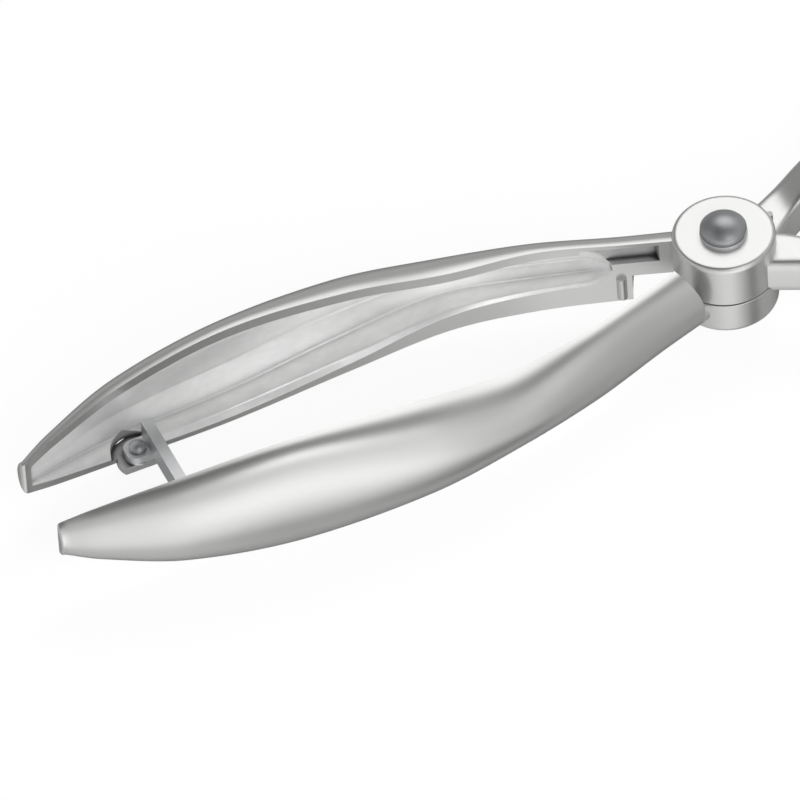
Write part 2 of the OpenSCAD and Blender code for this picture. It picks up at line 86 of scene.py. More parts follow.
class PitterHub(bpy.types.PropertyGroup):
    """Sizes of the pivot barrel, its rivet and its spring"""
    barrel_d: size("Barrel diameter", "Diameter of the barrel of two knuckles", 16)
    barrel_h: size("Barrel height", "Height of the whole barrel", 14)
    seam_h: size("Seam height", "Height of the seam above the underside", 6)
    seam_gap: size("Seam gap", "Gap between the knuckles", 0.3)
    rivet_d: size("Rivet shank", "Diameter of the rivet's shank", 4.8)
    dome_d: size("Dome diameter", "Diameter of the rivet's head", 7.2)
    dome_h: size("Dome height", "Height of the rivet's head", 2.3)
    washer_t: size("Washer", "Thickness of the washer under the dome", 0.4)


class PitterHandles(bpy.types.PropertyGroup):
    """Sizes of the two channel handles"""
    reach: size("Reach", "Distance from the pivot to a handle's tip", 114.5)
    grip_rim: size("Grip rim", "Half of the widest gap between the rims", 12.6)
    grip_depth: size("Grip depth", "Depth of the channel section at its fattest", 8)
    grip_half_h: size("Grip half height", "Half of the height at its tallest", 10.35)
    waist_half_h: size("Waist half height", "Half of the height at the waist", 6.4)
    tip_rim: size("Tip rim", "Half of the gap at the tips", 6.4)
    tip_half_h: size("Tip half height", "Half of the height at the tip", 3)
    web: size("Web", "Thickness of the channel's wall", 1.8)
    flange: size("Flange", "Thickness of a flange towards the tip", 2.2)
    root_flange: size("Root flange", "Thickness of the inner flange at the hub", 4.4)
    shoulder: size("Shoulder gap", "Gap between the end of the near handle and the barrel", 2.3)


class PitterHead(bpy.types.PropertyGroup):
    """Sizes of the cup, the guide and the punch's holder"""
    radius: size("Path radius", "Distance from the pivot to the punch's path", 48)
    olive_gap: size("Olive gap", "Room between the cup and the guide", 20)
    cup_d: size("Cup diameter", "Outer diameter of the cup ring", 20.6)
    cup_t: size("Cup thickness", "Thickness of the cup ring", 5)
    seat_d: size("Seat diameter", "Diameter of the seat insert", 16)
    stone_hole_d: size("Stone hole", "Hole that the stone leaves by", 7)
    guide_d: size("Guide diameter", "Outer diameter of the guide ring", 13)
    guide_t: size("Guide thickness", "Thickness of the guide ring", 3)
    punch_d: size("Punch diameter", "Diameter of the punch", 5)
    holder_d: size("Holder diameter", "Outer diameter of the punch's holder", 9.6)


class PitterLatch(bpy.types.PropertyGroup):
    """Sizes of the storage latch"""
    back: size("Place", "Distance from a handle's tip back to the latch pin", 20.1)
    length: size("Length", "From the latch pin to the catch peg", 21.5)
    plate_t: size("Plate", "Thickness of the latch plate", 1.8)
    plate_h: size("Plate height", "Height of the latch plate", 3.9)
    pin_d: size("Pin", "Diameter of the latch pin's shank", 1.6)
    peg_d: size("Peg", "Diameter of the catch peg", 1.6)


class PitterMetals(bpy.types.PropertyGroup):
    """Colours of the metals"""
    cast: tint("Cast metal", "Polished casting", (0.94, 0.94, 0.935))
    # This grey is mixed in a little at random as tone, and far more as painted shade in corners,
    # creases and next to the floor.
    cast_shade_and_tone: tint("Raw casting", "Grey of the corners that no wheel reaches", (0.3, 0.3, 0.3))
    # The pocket walls are rougher metal whose darker grey also stands for the shade in the pockets and
    # the latch's recess; the corner grey below is mostly painted shade in their corners.
    pocket: tint("Pockets", "Unpolished walls of the small pockets", (0.5, 0.5, 0.5))
    pocket_shade_and_tone: tint("Pocket corners", "Corners of the small pockets", (0.04, 0.04, 0.04))
    rivet: tint("Rivet steel", "Turned grey steel", (0.62, 0.625, 0.63))
    bright: tint("Bright steel", "Ground steel", (0.72, 0.725, 0.73))
    wire: tint("Spring wire", "Drawn wire", (0.50, 0.50, 0.50))


class PitterStage(bpy.types.PropertyGroup):
    """The camera's angle and frame, and the lamps"""
    elevation: FloatProperty(name="Elevation", description="Camera's height angle",
                             default=math.radians(47.8), subtype="ANGLE")
    azimuth: FloatProperty(name="Azimuth", description="Camera's turn round the part",
                           default=math.radians(-20.5), subtype="ANGLE")
    roll: FloatProperty(name="Roll", description="Camera's roll",
                        default=math.radians(4.3), subtype="ANGLE")
    frame_width: size("Frame width", "Width of the view at the pivot", 122.5)
    distance: size("Distance", "Distance from the camera to the pivot", 5000)
    key_power: FloatProperty(name="Key lamp", description="Power of the key lamp, in watts",
                             default=3.0)


# ---------------------------------------------------------------- curves and meshes

def through(stations, column, at):
    """One column of the stations as a smooth curve, read at the distances given."""
    s = np.array([k[0] for k in stations])
    v = np.array([k[column] for k in stations])
    slopes = np.empty_like(v)
    slopes[0] = (v[1] - v[0]) / (s[1] - s[0])
    slopes[-1] = (v[-1] - v[-2]) / (s[-1] - s[-2])
    slopes[1:-1] = (v[2:] - v[:-2]) / (s[2:] - s[:-2])
    i = np.clip(np.searchsorted(s, at, side="left") - 1, 0, len(s) - 2)
    w = s[i + 1] - s[i]
    t = (at - s[i]) / w
    return ((2 * t**3 - 3 * t**2 + 1) * v[i] + (t**3 - 2 * t**2 + t) * w * slopes[i]
            + (3 * t**2 - 2 * t**3) * v[i + 1] + (t**3 - t**2) * w * slopes[i + 1])


def oval(degrees, power):
    """Points of a round-cornered oval: power 1 is an ellipse, less is boxier."""
    a = np.radians(degrees)
    c, s = np.cos(a), np.sin(a)
    c[np.abs(c) < 1e-9] = 0.0
    s[np.abs(s) < 1e-9] = 0.0
    return np.sign(c) * np.abs(c)**power, np.sign(s) * np.abs(s)**power


def mesh_object(name, points, faces):
    """A new object in the scene from points and faces, all of which face outwards."""
    mesh = bpy.data.meshes.new(name)
    mesh.from_pydata([tuple(p) for p in points], [], faces)
    mesh.validate()
    form = bmesh.new()
    form.from_mesh(mesh)
    bmesh.ops.recalc_face_normals(form, faces=form.faces)
    form.to_mesh(mesh)
    form.free()
    piece = bpy.data.objects.new(name, mesh)
    bpy.context.scene.collection.objects.link(piece)
    return piece


def skin(name, rings):
    """A closed form over equal rings of points."""
    rings = np.asarray(rings)
    m, n = rings.shape[:2]
    faces = [(i * n + j, i * n + (j + 1) % n, (i + 1) * n + (j + 1) % n, (i + 1) * n + j)
             for i in range(m - 1) for j in range(n)]
    faces.append(tuple(range(n - 1, -1, -1)))
    faces.append(tuple((m - 1) * n + j for j in range(n)))
    return mesh_object(name, rings.reshape(-1, 3), faces)


def turned(name, profile, steps=96):
    """A form turned about Z from (radius, height) points; it closes where the radius is 0."""
    points, rows = [], []
    for radius, height in profile:
        if radius < 1e-9:
            rows.append([len(points)])
            points.append((0, 0, height))
        else:
            rows.append([len(points) + k for k in range(steps)])
            for k in range(steps):
                a = 2 * math.pi * k / steps
                points.append((radius * math.cos(a), radius * math.sin(a), height))
    if len(rows[0]) > 1:
        rows.append(rows[0])
    faces = []
    for low, high in zip(rows, rows[1:]):
        for k in range(steps):
            following = (k + 1) % steps
            corners = [low[k % len(low)], low[following % len(low)],
                       high[following % len(high)], high[k % len(high)]]
            corners = [c for i, c in enumerate(corners) if c not in corners[:i]]
            if len(corners) > 2:
                faces.append(tuple(corners))
    return mesh_object(name, points, faces)


def eased(corners, radius, steps=5):
    """The outline through these corners, each rounded by a radius (one for all, or one each)."""
    n = len(corners)
    radii = radius if isinstance(radius, (list, tuple)) else [radius] * n
    outline = []
    for i in range(n):
        here = Vector(corners[i])
        back = Vector(corners[i - 1]) - here
        ahead = Vector(corners[(i + 1) % n]) - here
        r = min(radii[i], back.length * 0.49, ahead.length * 0.49)
        if r <= 0:
            outline.append(tuple(here))
            continue
        a, b = here + back.normalized() * r, here + ahead.normalized() * r
        for k in range(steps + 1):
            t = k / steps
            outline.append(tuple(a * (1 - t)**2 + here * 2 * t * (1 - t) + b * t * t))
    return outline


def slab(name, outline, low, high, edge=0.0):
    """An outline in X and Y with thickness from low to high, its rims eased a little."""
    points = np.array(outline)
    middle = points.mean(axis=0)
    spread = np.abs(points - middle).max()
    small = middle + (points - middle) * (1 - edge / spread)
    rings = [(small, low), (points, low + edge), (points, high - edge), (small, high)] if edge else [
        (points, low), (points, high)]
    return skin(name, [np.column_stack([p, np.full(len(p), z)]) for p, z in rings])


def swept(name, section, centre_of, steps):
    """A section carried along a path; centre_of(t) gives a place and two directions across it."""
    rings = []
    for i in range(steps + 1):
        place, across, up = centre_of(i / steps)
        rings.append([place + across * a + up * b for a, b in section(i / steps)])
    return skin(name, [[tuple(p) for p in ring] for ring in rings])


def applied(piece):
    """The piece with its modifiers worked into its mesh."""
    shaped = bpy.data.meshes.new_from_object(piece.evaluated_get(bpy.context.evaluated_depsgraph_get()))
    piece.modifiers.clear()
    old, piece.data = piece.data, shaped
    bpy.data.meshes.remove(old)
    if not len(shaped.polygons):
        raise RuntimeError(f"{piece.name}: nothing is left of it")
    return piece


def joined(base, tool, operation="UNION"):
    """The base after one exact boolean with the tool, which is used up."""
    step = base.modifiers.new("cut", "BOOLEAN")
    step.operation = operation
    step.solver = "EXACT"
    step.material_mode = "TRANSFER"
    step.object = tool
    applied(base)
    bpy.data.objects.remove(tool)
    return base


def placed(piece, matrix):
    """Moves a piece's own points, so that its object stays at the origin."""
    piece.data.transform(matrix)
    if matrix.determinant() < 0:
        piece.data.flip_normals()
    return piece


def smooth(piece, degrees=35):
    """Smooth shading with creases and the borders of a metal kept, in which flat faces stay flat."""
    piece.data.shade_smooth()
    piece.data.set_sharp_from_angle(angle=math.radians(degrees))
    shape = bmesh.new()
    shape.from_mesh(piece.data)
    for edge in shape.edges:
        if len({face.material_index for face in edge.link_faces}) > 1:
            edge.smooth = False
    shape.to_mesh(piece.data)
    shape.free()
    flat = piece.modifiers.new("flat", "WEIGHTED_NORMAL")
    flat.keep_sharp = True
    return applied(piece)


# ---------------------------------------------------------------- fixed sizes

# How far a cutter reaches past the surface that it opens
BEYOND = 5 * MM
PAST_RIM = 3 * MM
PAST_HOLE = 1 * MM

# A handle, its channel from the cove to the end wall, and the pocket by the hub
HUB_END = 4 * MM
HANDLE_AROUND = 41
HANDLE_RINGS = 150
GRIP_ROUND = 1.0
COVE_FROM = 16.4 * MM
COVE_LEN = 4 * MM
COVE_LEAST = 0.25
CHANNEL_RINGS = 170
CHANNEL_CROWD = 1.4
CHANNEL_FACETS = [(-0.06, -1.16), (0.14, -0.97), (0.74, -0.86), (1.0, -0.3), (0.85, 0.72),
                  (-0.06, 1.01)]
CHANNEL_EASING = [0, 0.04, 0.05, 0.04, 0.5, 0]
POCKET_FROM = 9.5 * MM
POCKET_TO = 21 * MM
POCKET_RINGS = 12
POCKET_DEPTH = 1.4 * MM
POCKET_WALL = 0.75 * MM
LEDGE = 3.0 * MM

# The end of a handle: its wall, how it flares before it, and how it closes
TIP_DEEP = 0.6 * MM
TIP_WALL = 1.4 * MM
TIP_FLARE = 1.5 * MM
TIP_FLARE_H = 2.1 * MM
END_WALL = 1.6 * MM
TIP_EDGE = 0.7 * MM
TIP_STEPS = (0.35, 0.7, 1.0)
TIP_CLOSE = 0.4
TIP_LOW = 0.25

# The necks: the far handle stops outside a step round the barrel, the near one goes on as a neck
STEP_OUT = 6.4 * MM
NECK_DROP = 0.8 * MM
NECK_AROUND = 33
NECK_RINGS = 24
NECK_FLAT = 0.9
NECK_IN = 0.5 * MM
NECK_SHARE = 0.85
NECK_BITE = 3 * MM
POST_X = 15.2 * MM
POST_R = 0.8 * MM
POST_H = 4.4 * MM

# The jaws: the arms, and how far inside the punch's path and from the axis each ends
ARM_THICK = 5.4 * MM
ARM_PAST_SEAM = 1.2 * MM
ARM_FROM = 13 * MM
ARM_HALF = 4.4 * MM
ARM_END_HALF = 4.6 * MM
ARM_AROUND = 56
ARM_RINGS = 90
ARM_BOXY = 0.36
JAW_GAP = 0.35 * MM
NEAR_JAW_END = (9 * MM, 12.8 * MM)
FAR_JAW_END = (5 * MM, 16.4 * MM)

# The head: the bridge with its two rings, their bores and the punch's holder
BRIDGE_W = 4.6 * MM
BRIDGE_H = 8.4 * MM
BRIDGE_EASE = 1.2 * MM
BRIDGE_BITE = 1.4 * MM
RING_EASE = 0.7 * MM
RING_ROOT = 1.0 * MM
RING_NECK = (0.18, 0.46)
STONE_ROOM = 1.6 * MM
SEAT_DEPTH = 2.6 * MM
BUSH_ROOM = 3.18 * MM
FIT = 0.08 * MM
HOLDER_GAP = 1.2 * MM
HOLDER_LEN = 6.6 * MM
HOLDER_EASE = 0.8 * MM
HOLDER_END = 0.12

# The rivet and its ring
RIVET_FOOT_R = 3.6 * MM
RIVET_FOOT_H = 1.2 * MM
DOME_SIDE = 0.4
DOME_CAP = 0.93
DOME_RINGS = 14
DOME_EASE = 0.12 * MM
GROOVE_DEEP = 0.3 * MM
GROOVE_H = 0.22 * MM
GROOVE_TOP = 0.4 * MM
WASHER_OUT = 0.1 * MM
WASHER_FIT = 0.04 * MM
WASHER_EASE = 0.3 * MM

# The ear that the latch turns on and the recess above it
PIN_IN = 1.2 * MM
EAR_T = 1.4 * MM
EAR_R = 3.4 * MM
EAR_EASE = 0.3 * MM
EAR_FRONT = 1.7 * MM
EAR_CUT = 4 * MM
EAR_CUT_TOP = 3 * MM
RECESS_R = 4.2 * MM
RECESS_H = 5.2 * MM
PIN_DEEP = 2.4 * MM

# The latch: its foot, plate and hook
FOOT_LIFT = 0.45 * MM
FOOT_R = 2.1 * MM
FOOT_EASE = 2.0 * MM
FOOT_T = 1.2 * MM
FOOT_HOLE_TOP = 1.3 * MM
PLATE_LIFT = 0.7 * MM
PLATE_GAP = 0.75 * MM
PLATE_FROM = 4 * MM
HOOK_FROM = 5 * MM
HOOK_GAP = 0.1 * MM
HOOK_RISE = 2.1 * MM
HOOK_BELOW = 0.02 * MM
NOSE = 0.6 * MM
NOSE_LEN = 1.8 * MM
FINE = 0.1 * MM


# ---------------------------------------------------------------- shapes shared by the two levers

def mid_z():
    return bpy.context.scene.pitter_hub.barrel_h / 2


def seam_z():
    """Height of the seam above the tool's middle plane."""
    return bpy.context.scene.pitter_hub.seam_h - mid_z()


def handle_stations():
    """Distance from the pivot, rim, depth and half height of a handle."""
    h = bpy.context.scene.pitter_handles
    return [(HUB_END, 1.2 * MM, 5.6 * MM, mid_z() - NECK_DROP),
            (14 * MM, 4.8 * MM, 5.2 * MM, mid_z() - NECK_DROP),
            (0.24 * h.reach, 0.73 * h.grip_rim, 0.70 * h.grip_depth, 1.03 * h.waist_half_h),
            (0.36 * h.reach, 0.90 * h.grip_rim, 0.94 * h.grip_depth, h.waist_half_h),
            (0.50 * h.reach, h.grip_rim, h.grip_depth, 0.85 * h.grip_half_h),
            (0.68 * h.reach, 0.99 * h.grip_rim, 0.82 * h.grip_depth, h.grip_half_h),
            (0.84 * h.reach, 0.84 * h.grip_rim, 0.70 * h.grip_depth, 0.80 * h.grip_half_h),
            (0.95 * h.reach, h.tip_rim + TIP_FLARE, 0.45 * h.grip_depth, h.tip_half_h + TIP_FLARE_H),
            (h.reach, h.tip_rim, 0.27 * h.grip_depth, h.tip_half_h)]


def flange_stations():
    """Distance from the pivot, inner flange and outer flange of a handle's channel."""
    h = bpy.context.scene.pitter_handles
    return [(COVE_FROM, h.root_flange, 0.83 * h.web),
            (COVE_FROM + COVE_LEN, h.root_flange, 0.9 * h.web),
            (0.36 * h.reach, 0.82 * h.root_flange, h.web),
            (0.52 * h.reach, h.flange, h.web),
            (h.reach, h.tip_half_h - TIP_WALL, h.tip_half_h - TIP_WALL)]


def handle_at(s):
    """Rim, depth and half height of a handle at a distance from the pivot."""
    stations = handle_stations()
    return [float(through(stations, column, s)) for column in (1, 2, 3)]


def channel():
    """What is cut out of a handle from its cove to its end wall: facets with a lip along the rim."""
    h = bpy.context.scene.pitter_handles
    flanges = flange_stations()
    facets_y, facets_z = np.array(eased(CHANNEL_FACETS, CHANNEL_EASING, 6)).transpose()
    facets_z = np.concatenate([facets_z[:1], facets_z, facets_z[-1:]])
    rings = []
    crowded = np.linspace(0, 1, CHANNEL_RINGS)**CHANNEL_CROWD
    for s in COVE_FROM + (h.reach - END_WALL - COVE_FROM) * crowded:
        rim, depth, half = handle_at(s)
        low = -half + float(through(flanges, 1, s))
        high = half - float(through(flanges, 2, s))
        t = min(1.0, (s - COVE_FROM) / COVE_LEN)
        opened = max(COVE_LEAST, math.sqrt(1 - (1 - t)**2))
        tall, deep = (high - low) / 2 * opened, max(TIP_DEEP, depth - h.web) * opened
        y = np.concatenate([[rim - PAST_RIM], rim + deep * facets_y, [rim - PAST_RIM]])
        rings.append(np.column_stack([np.full(len(y), -s), y, (high + low) / 2 + tall * facets_z]))
    piece = skin("channel", rings)
    # The channel's inside is rougher metal, with painted shade in its creases.
    piece.data.materials.append(bpy.data.materials["cast_inside"])
    return piece


def pocket():
    """What is cut out of a handle between its cove and the hub: a shallow pocket over a ledge."""
    rings = []
    for s in np.linspace(POCKET_FROM, POCKET_TO, POCKET_RINGS):
        rim, _, half = handle_at(s)
        low, high = seam_z() + LEDGE, half - POCKET_WALL
        rings.append([(-s, rim - PAST_RIM, low), (-s, rim + POCKET_DEPTH, low),
                      (-s, rim + POCKET_DEPTH, high), (-s, rim - PAST_RIM, high)])
    piece = skin("pocket", rings)
    # The pocket's walls take the darker pocket metal, which is partly painted shade of the pocket.
    piece.data.materials.append(bpy.data.materials["cast_pocket"])
    return piece


def handle(name):
    """The channel handle of the upper lever, about the middle plane."""
    h = bpy.context.scene.pitter_handles
    around = oval(np.linspace(-90, 90, HANDLE_AROUND), GRIP_ROUND)
    rings = []
    for s in np.linspace(HUB_END, h.reach - TIP_EDGE, HANDLE_RINGS):
        rim, depth, half = handle_at(s)
        rings.append(np.column_stack([np.full(HANDLE_AROUND, -s), rim + depth * around[0],
                                      half * around[1]]))
    last = rings[-1]
    for t in TIP_STEPS:
        drop = 1 - math.sqrt(1 - t * t)
        tip = last.copy()
        tip[:, 0] = -(h.reach - TIP_EDGE * (1 - t))
        tip[:, 1] = h.tip_rim + TIP_EDGE * drop + (last[:, 1] - h.tip_rim) * (1 - TIP_CLOSE * drop)
        tip[:, 2] = last[:, 2] * (1 - TIP_LOW * drop)
        rings.append(tip)
    body = skin(name, rings)
    body.data.materials.append(bpy.data.materials["cast_metal"])
    return joined(joined(body, channel(), "DIFFERENCE"), pocket(), "DIFFERENCE")


def neck(low, high):
    """The narrower neck that joins the near handle to its knuckle."""
    scene = bpy.context.scene
    around = oval(np.linspace(-90, 90, NECK_AROUND), NECK_FLAT)
    end = scene.pitter_hub.barrel_d / 2 + scene.pitter_handles.shoulder + NECK_BITE
    rings = []
    for s in np.linspace(HUB_END, end, NECK_RINGS):
        rim, depth, _ = handle_at(s)
        y = -rim - NECK_IN - (NECK_SHARE * depth - 2 * NECK_IN) * around[0]
        z = (high + low) / 2 + (high - low) / 2 * around[1]
        rings.append(np.column_stack([np.full(NECK_AROUND, -s), y, z]))
    return skin("neck", rings)


def knuckle(name, low, high, round_top):
    """One half of the barrel, its outer face edge rounded."""
    r = bpy.context.scene.pitter_hub.barrel_d / 2
    edge, fine = 0.9 * MM, 0.12 * MM
    corners = [(0, low), (r, low), (r, high), (0, high)]
    radii = [0, fine if round_top else edge, edge if round_top else fine, 0]
    return turned(name, eased(corners, radii, 6), 160)


def arm(name, low, high, end_x, end_y):
    """A jaw's arm from the knuckle to the head, on the +Y side.

    Its stations give the distance along X, the middle and half width in Y, and the low and high Z.
    """
    k = [(2.5 * MM, 2.6 * MM, 3.5 * MM, low, high),
         (8.6 * MM, 5.0 * MM, 4.1 * MM, low, high),
         (ARM_FROM, 7.9 * MM, 3.4 * MM, low, high),
         (ARM_FROM + 6 * MM, 10.4 * MM, 3.1 * MM, (low - ARM_HALF) / 2, (high + ARM_HALF) / 2),
         (ARM_FROM + 14 * MM, 12.5 * MM, 3.0 * MM, -ARM_HALF, ARM_HALF),
         (end_x - 4 * MM, end_y - 0.4 * MM, 2.9 * MM, -ARM_END_HALF, ARM_END_HALF),
         (end_x, end_y, 2.6 * MM, -ARM_END_HALF, ARM_END_HALF)]
    around = oval(np.linspace(0, 360, ARM_AROUND, endpoint=False), ARM_BOXY)
    rings = []
    for x in np.linspace(k[0][0], k[-1][0], ARM_RINGS):
        middle, half, z0, z1 = (float(through(k, c, x)) for c in (1, 2, 3, 4))
        rings.append(np.column_stack([np.full(ARM_AROUND, x), middle - half * around[0],
                                      (z0 + z1) / 2 + (z1 - z0) / 2 * around[1]]))
    return skin(name, rings)


class Path:
    """The arc that the punch travels on, and the angles of what lies along it."""

    def __init__(self):
        head = bpy.context.scene.pitter_head
        self.radius = head.radius
        self.guide = self.turn(head.olive_gap + head.cup_t / 2 + head.guide_t / 2) / 2
        self.cup = -self.guide
        self.holder_from = self.guide + self.turn(head.guide_t / 2 + HOLDER_GAP)
        self.holder_to = self.holder_from + self.turn(HOLDER_LEN)
        self.bridge_in = head.radius - head.cup_d / 2 - BRIDGE_W + BRIDGE_BITE

    def turn(self, length):
        """The angle that a length along the path takes."""
        return length / self.radius

    def at(self, angle):
        """Places a form with its Z along the path."""
        return (Matrix.Rotation(angle, 4, "Z") @ Matrix.Translation((self.radius, 0, 0))
                @ Matrix.Rotation(-math.pi / 2, 4, "X"))


def round_section(radius, steps=40):
    return [(radius * math.cos(2 * math.pi * k / steps), radius * math.sin(2 * math.pi * k / steps))
            for k in range(steps)]


def along_arc(radius, start, end):
    """Place and directions across an arc round the pivot."""
    def centre(t):
        a = start + (end - start) * t
        out = Vector((math.cos(a), math.sin(a), 0))
        return out * radius, out, Vector((0, 0, 1))
    return centre


def bored(piece, length_low, length_high, diameter, matrix=None, wall=None):
    """Takes a round hole out of a piece; its wall may have a metal of its own."""
    drill = turned("drill", [(0, length_low), (diameter / 2, length_low), (diameter / 2, length_high),
                             (0, length_high)], 72)
    if matrix:
        placed(drill, matrix)
    if wall:
        drill.data.materials.append(bpy.data.materials[wall])
    return joined(piece, drill, "DIFFERENCE")


def to_height():
    return Matrix.Translation((0, 0, mid_z()))


def dress(piece, body, material, slot, *replaced):
    """Gives a finished piece its metal, its body and the nodes that it stands for."""
    if not piece.data.materials:
        piece.data.materials.append(None)
    for i, worn in enumerate(piece.data.materials):
        if worn is None:
            piece.data.materials[i] = bpy.data.materials[material]
    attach(piece, body)
    if replaced:
        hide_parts(*replaced)


# ---------------------------------------------------------------- the pieces

class PITTER_OT_upper_lever(bpy.types.Operator):
    """Builds the casting with the far handle, upper knuckle, near jaw, cup and guide ring"""
    bl_idname = "pitter.upper_lever"
    bl_label = "Upper lever"

    def execute(self, context):
        hub, head, path = context.scene.pitter_hub, context.scene.pitter_head, Path()
        half, seam = mid_z(), seam_z() + hub.seam_gap / 2
        lever = handle("upper_casting")
        lever = bored(lever, -half - BEYOND, seam, 2 * (hub.barrel_d / 2 + STEP_OUT))
        lever = joined(lever, knuckle("knuckle", seam, half, True))
        end_in, end_y = NEAR_JAW_END
        jaw = arm("jaw", seam_z() - ARM_PAST_SEAM, seam_z() + ARM_THICK, head.radius - end_in, end_y)
        jaw = bored(jaw, -half, seam, hub.barrel_d + 2 * JAW_GAP)
        lever = joined(lever, placed(jaw, Matrix.Scale(-1, 4, (0, 1, 0))))
        rim, _, tall = handle_at(POST_X)
        post = turned("post", [(0, 0), (POST_R, 0), (POST_R, POST_H), (0, POST_H)], 48)
        lever = joined(lever, placed(post, Matrix.Translation((-POST_X, rim, POST_R - tall))))
        bar = eased([(0, -BRIDGE_H / 2), (BRIDGE_W, -BRIDGE_H / 2), (BRIDGE_W, BRIDGE_H / 2),
                     (0, BRIDGE_H / 2)], BRIDGE_EASE)
        bar = [(path.bridge_in + a, b) for a, b in bar]
        bridge = swept("bridge", lambda t: bar, along_arc(0, path.cup, path.guide), 40)
        lever = joined(lever, bridge)
        for angle, ring_d, thick in ((path.cup, head.cup_d, head.cup_t),
                                     (path.guide, head.guide_d, head.guide_t)):
            ring = turned("ring", eased([(0, -thick / 2), (ring_d / 2, -thick / 2),
                                         (ring_d / 2, thick / 2), (0, thick / 2)],
                                        [0, RING_EASE, RING_EASE, 0]), 120)
            root = path.bridge_in - head.radius + RING_ROOT
            neck_x, neck_y = (ring_d * share for share in RING_NECK)
            neck = slab("neck", [(root, -BRIDGE_H / 2), (-neck_x, -neck_y), (-neck_x, neck_y),
                                 (root, BRIDGE_H / 2)], -thick / 2, thick / 2)
            lever = joined(lever, placed(joined(ring, neck), path.at(angle)))
        cup = path.at(path.cup)
        lever = bored(lever, -head.cup_t, head.cup_t, head.stone_hole_d + STONE_ROOM, cup)
        lever = bored(lever, head.cup_t / 2 - SEAT_DEPTH, head.cup_t, head.seat_d + FIT, cup)
        lever = bored(lever, -head.guide_t, head.guide_t, head.punch_d + BUSH_ROOM, path.at(path.guide))
        lever = self.ear(context, lever)
        placed(lever, to_height())
        dress(smooth(lever, 25), "upper", "cast_metal", "cast_metal", "upper_lever")
        return {"FINISHED"}

    def ear(self, context, lever):
        """Adds the thick ear that the latch turns on, round but for its front, and its recess."""
        latch = context.scene.pitter_latch
        x, y, half = latch_place(context)
        ear = turned("ear", eased([(0, 0), (EAR_R, 0), (EAR_R, EAR_T), (0, EAR_T)],
                                  [0, EAR_EASE, EAR_EASE, 0]), 64)
        front = slab("front", [(-EAR_CUT, -EAR_CUT), (EAR_CUT, -EAR_CUT), (EAR_CUT, -EAR_FRONT),
                               (-EAR_CUT, -EAR_FRONT)], -PAST_HOLE, EAR_CUT_TOP)
        # The ear and, below, the recess wall take the darker pocket metal, which is partly painted
        # shade of the recess.
        ear.data.materials.append(bpy.data.materials["cast_pocket"])
        ear = joined(ear, front, "DIFFERENCE")
        here = Matrix.Translation((x, y, 0))
        lever = joined(lever, placed(ear, Matrix.Translation((x, y, -half))))
        top = -half + EAR_T
        lever = bored(lever, top, top + RECESS_H, 2 * RECESS_R, here, "cast_pocket")
        return bored(lever, -half - PAST_HOLE, -half + PIN_DEEP, latch.pin_d + FIT, here)


class PITTER_OT_lower_lever(bpy.types.Operator):
    """Builds the casting with the near handle, the lower knuckle, the far jaw and the punch's holder"""
    bl_idname = "pitter.lower_lever"
    bl_label = "Lower lever"

    def execute(self, context):
        hub, head, path = context.scene.pitter_hub, context.scene.pitter_head, Path()
        half, seam = mid_z(), seam_z() - hub.seam_gap / 2
        lever = placed(handle("lower_casting"), Matrix.Rotation(math.pi, 4, "X"))
        shoulder = hub.barrel_d + 2 * context.scene.pitter_handles.shoulder
        lever = bored(lever, -half - BEYOND, half + BEYOND, shoulder)
        lever = joined(lever, neck(-half + NECK_DROP + NECK_IN, seam))
        lever = joined(lever, knuckle("knuckle", -half, seam, False))
        end_in, end_y = FAR_JAW_END
        jaw = arm("jaw", seam_z() - ARM_THICK, seam_z() + ARM_PAST_SEAM, head.radius - end_in, end_y)
        lever = joined(lever, bored(jaw, seam, half + PAST_HOLE, hub.barrel_d + 2 * JAW_GAP))

        def section(t):
            near_end = min(1, min(t, 1 - t) / HOLDER_END)
            eased_by = HOLDER_EASE * (1 - math.sqrt(1 - (1 - near_end)**2))
            return round_section(head.holder_d / 2 - eased_by)

        arc = along_arc(path.radius, path.holder_from, path.holder_to)
        lever = joined(lever, swept("holder", section, arc, 40))
        placed(lever, to_height())
        dress(smooth(lever, 25), "lower", "cast_metal", "cast_metal", "lower_lever")
        return {"FINISHED"}


class PITTER_OT_rivet(bpy.types.Operator):
    """Builds the pivot rivet with its domed head and the bright washer under it"""
    bl_idname = "pitter.rivet"
    bl_label = "Pivot rivet"

    def execute(self, context):
        hub = context.scene.pitter_hub
        r, shank, low = hub.dome_d / 2, hub.rivet_d / 2, hub.barrel_h + hub.washer_t
        side = hub.dome_h * DOME_SIDE
        cap = hub.dome_h - side
        ball = (r * r + cap * cap) / (2 * cap)
        dome = [(ball * math.sin(a), low + hub.dome_h - ball + ball * math.cos(a))
                for a in np.linspace(math.asin(r / ball) * DOME_CAP, 0, DOME_RINGS)]
        groove = r - GROOVE_DEEP
        profile = [(0, 0), (RIVET_FOOT_R, 0), (shank, RIVET_FOOT_H), (shank, low), (groove, low),
                   (groove, low + GROOVE_H), (r, low + GROOVE_TOP), (r, low + side - DOME_EASE)] + dome
        rivet = smooth(turned("rivet", profile, 96), 40)
        dress(rivet, "upper", "rivet_steel", "rivet_steel", "pivot_rivet")
        outer, inner, top = hub.dome_d / 2 + WASHER_OUT, shank + WASHER_FIT, hub.washer_t
        ring = turned("washer", eased([(inner, 0), (outer, 0), (outer, top), (inner, top)],
                                      [0, 0, WASHER_EASE, 0]), 96)
        placed(ring, Matrix.Translation((0, 0, hub.barrel_h)))
        dress(smooth(ring), "upper", "bright_steel", "bright_steel", "dome_washer")
        return {"FINISHED"}


def latch_place(context):
    """Where the latch pin stands, and half of the handle's height there."""
    along = context.scene.pitter_handles.reach - context.scene.pitter_latch.back
    rim, _, half = handle_at(along)
    return -along, rim - PIN_IN, half


